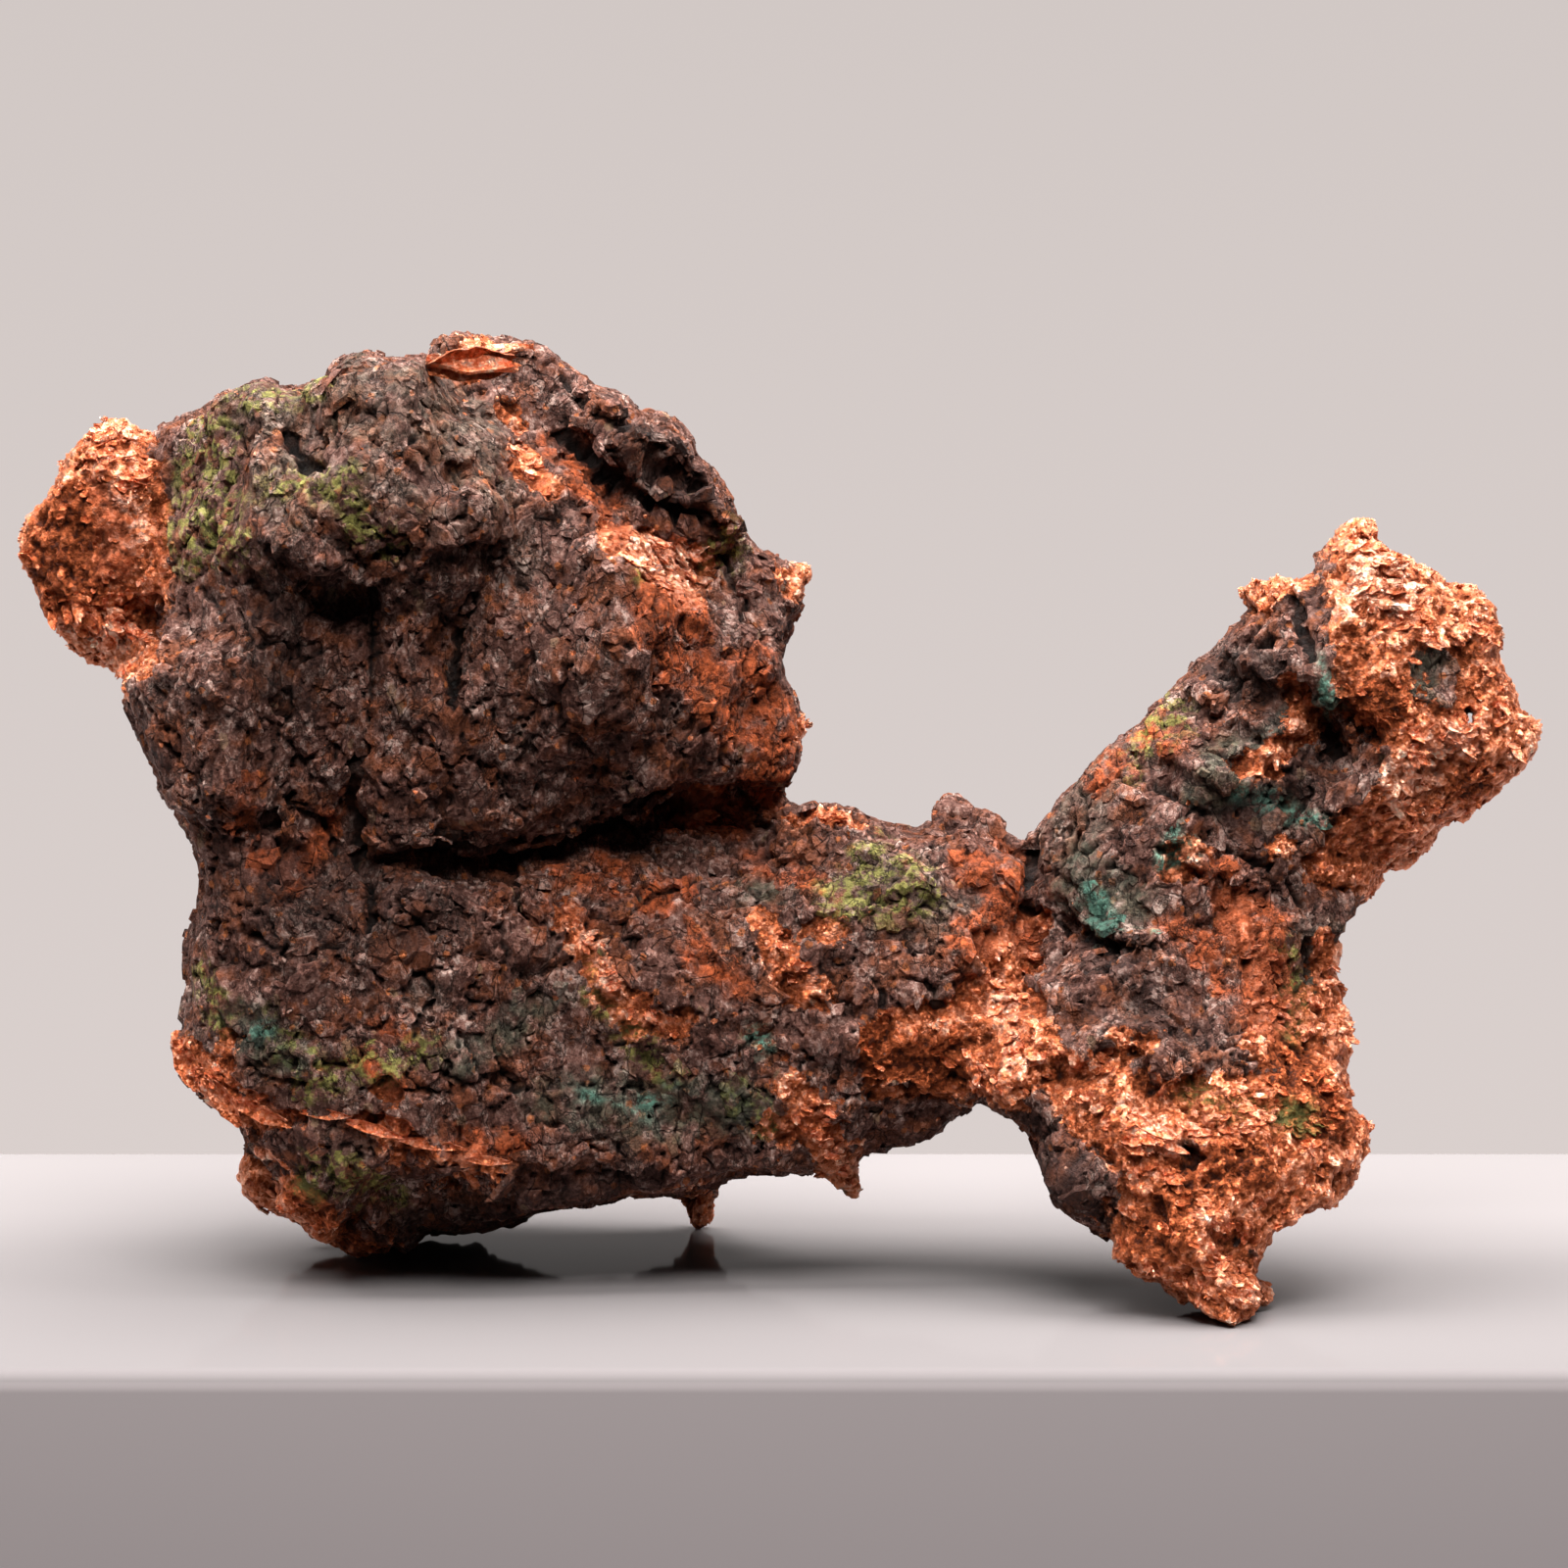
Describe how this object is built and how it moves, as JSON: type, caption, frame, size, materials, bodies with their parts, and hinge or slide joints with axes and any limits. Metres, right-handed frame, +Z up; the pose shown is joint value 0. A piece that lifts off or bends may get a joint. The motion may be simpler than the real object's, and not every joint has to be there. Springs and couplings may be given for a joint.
{
  "type": "native copper nugget",
  "caption": "Natural copper nugget: a rounded crusted head on a trunk, an arm running to a leaning branch, standing on three small points.",
  "frame": {"origin": "middle of the footprint's box, on the surface that the nugget stands on", "axes": "+X from the rounded head towards the leaning branch, +Y towards the back, +Z up"},
  "size_m": [0.1236, 0.0608, 0.0771],
  "materials": {
    "nugget": "rough dark oxide crust with patches of bare crumpled copper and green dust"
  },
  "bodies": {
    "root": {"nugget": "nugget"}
  },
  "joints": []
}
